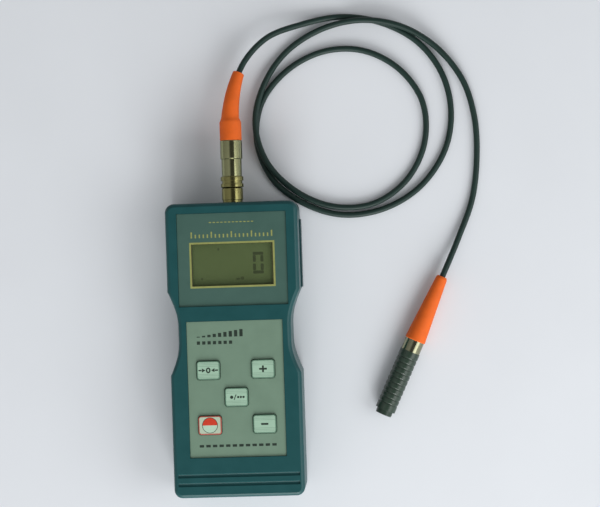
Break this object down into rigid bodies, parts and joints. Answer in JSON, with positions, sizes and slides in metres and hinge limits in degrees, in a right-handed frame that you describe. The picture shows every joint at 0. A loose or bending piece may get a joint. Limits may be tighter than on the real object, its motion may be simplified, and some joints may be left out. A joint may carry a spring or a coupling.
{
  "type": "coating thickness gauge",
  "caption": "Hand-held gauge with a waisted housing, display, keypad and battery door; its spring-tipped probe is on a looped lead that plugs into the top end.",
  "frame": {"origin": "centre of the flat back that the housing lies on", "axes": "+X to the right across the front, +Y towards the socket, +Z out of the front face"},
  "size_m": [0.1672, 0.2541, 0.0323],
  "materials": {
    "housing": "fine satin texture",
    "side_plate": "satin",
    "display_panel": "printed film",
    "key_panel": "printed film",
    "window": "clear",
    "key": "satin",
    "black_plastic": "satin",
    "display_cell": "reflective display",
    "strip_rubber": "matte",
    "board": "solder mask",
    "steel": "plated",
    "cell_jacket": "printed sleeve",
    "wire_jacket": "satin",
    "nickel": "warm nickel plate",
    "contact_metal": "bright",
    "orange_rubber": "smooth",
    "cord_jacket": "smooth",
    "grip_rubber": "matte"
  },
  "bodies": {
    "housing": {"front_shell": "housing", "rear_shell": "housing", "side_cover": "side_plate", "header_plate": "display_panel", "keypad_plate": "key_panel", "display_window": "window", "zero_switch": "black_plastic", "plus_switch": "black_plastic", "mode_switch": "black_plastic", "power_switch": "black_plastic", "minus_switch": "black_plastic", "lcd_frame": "black_plastic", "processor_chip": "black_plastic", "amplifier_chip": "black_plastic", "socket_insert": "black_plastic", "lcd_panel": "display_cell", "lcd_strip_upper": "strip_rubber", "lcd_strip_lower": "strip_rubber", "circuit_board": "board", "housing_screws": "steel", "board_screws": "steel", "crystal": "steel", "battery_springs": "steel", "contact_plates": "steel", "battery_cell_1": "cell_jacket", "battery_cell_2": "cell_jacket", "battery_cell_3": "cell_jacket", "battery_cell_4": "cell_jacket", "battery_wires": "wire_jacket", "signal_wires": "wire_jacket", "socket_body": "nickel", "socket_nut": "nickel", "socket_contacts": "contact_metal"},
    "zero_button": {"zero_key": "key"},
    "plus_button": {"plus_key": "key"},
    "mode_button": {"mode_key": "key"},
    "power_button": {"power_key": "key"},
    "minus_button": {"minus_key": "key"},
    "battery_door": {"battery_cover": "housing"},
    "probe_lead": {"plug_shell": "nickel", "plug_ring": "nickel", "plug_barrel": "nickel", "plug_insert": "black_plastic", "plug_pins": "contact_metal", "plug_boot": "orange_rubber", "lead": "cord_jacket", "probe_boot": "orange_rubber", "probe_tube": "nickel", "probe_grip": "grip_rubber", "probe_spring": "steel"},
    "probe_tip": {"probe_plunger": "black_plastic", "probe_core": "steel", "probe_coil": "contact_metal"}
  },
  "joints": [
    {"name": "zero_press", "type": "slide", "parent": "housing", "child": "zero_button", "axis": [0, 0, -1], "range_m": [0, 0.0005], "stiffness_N_per_m": 600},
    {"name": "plus_press", "type": "slide", "parent": "housing", "child": "plus_button", "axis": [0, 0, -1], "range_m": [0, 0.0005], "stiffness_N_per_m": 600},
    {"name": "mode_press", "type": "slide", "parent": "housing", "child": "mode_button", "axis": [0, 0, -1], "range_m": [0, 0.0005], "stiffness_N_per_m": 600},
    {"name": "power_press", "type": "slide", "parent": "housing", "child": "power_button", "axis": [0, 0, -1], "range_m": [0, 0.0005], "stiffness_N_per_m": 600},
    {"name": "minus_press", "type": "slide", "parent": "housing", "child": "minus_button", "axis": [0, 0, -1], "range_m": [0, 0.0005], "stiffness_N_per_m": 600},
    {"name": "battery_door_slide", "type": "slide", "parent": "housing", "child": "battery_door", "axis": [0, -1, 0], "range_m": [0, 0.06]},
    {"name": "plug_pull", "type": "slide", "parent": "housing", "child": "probe_lead", "axis": [0, 1, 0], "range_m": [0, 0.012]},
    {"name": "probe_tip_press", "type": "slide", "parent": "probe_lead", "child": "probe_tip", "axis": [0.4226, 0.9063, 0], "range_m": [0, 0.002], "stiffness_N_per_m": 300, "deforming": ["probe_spring"]}
  ]
}
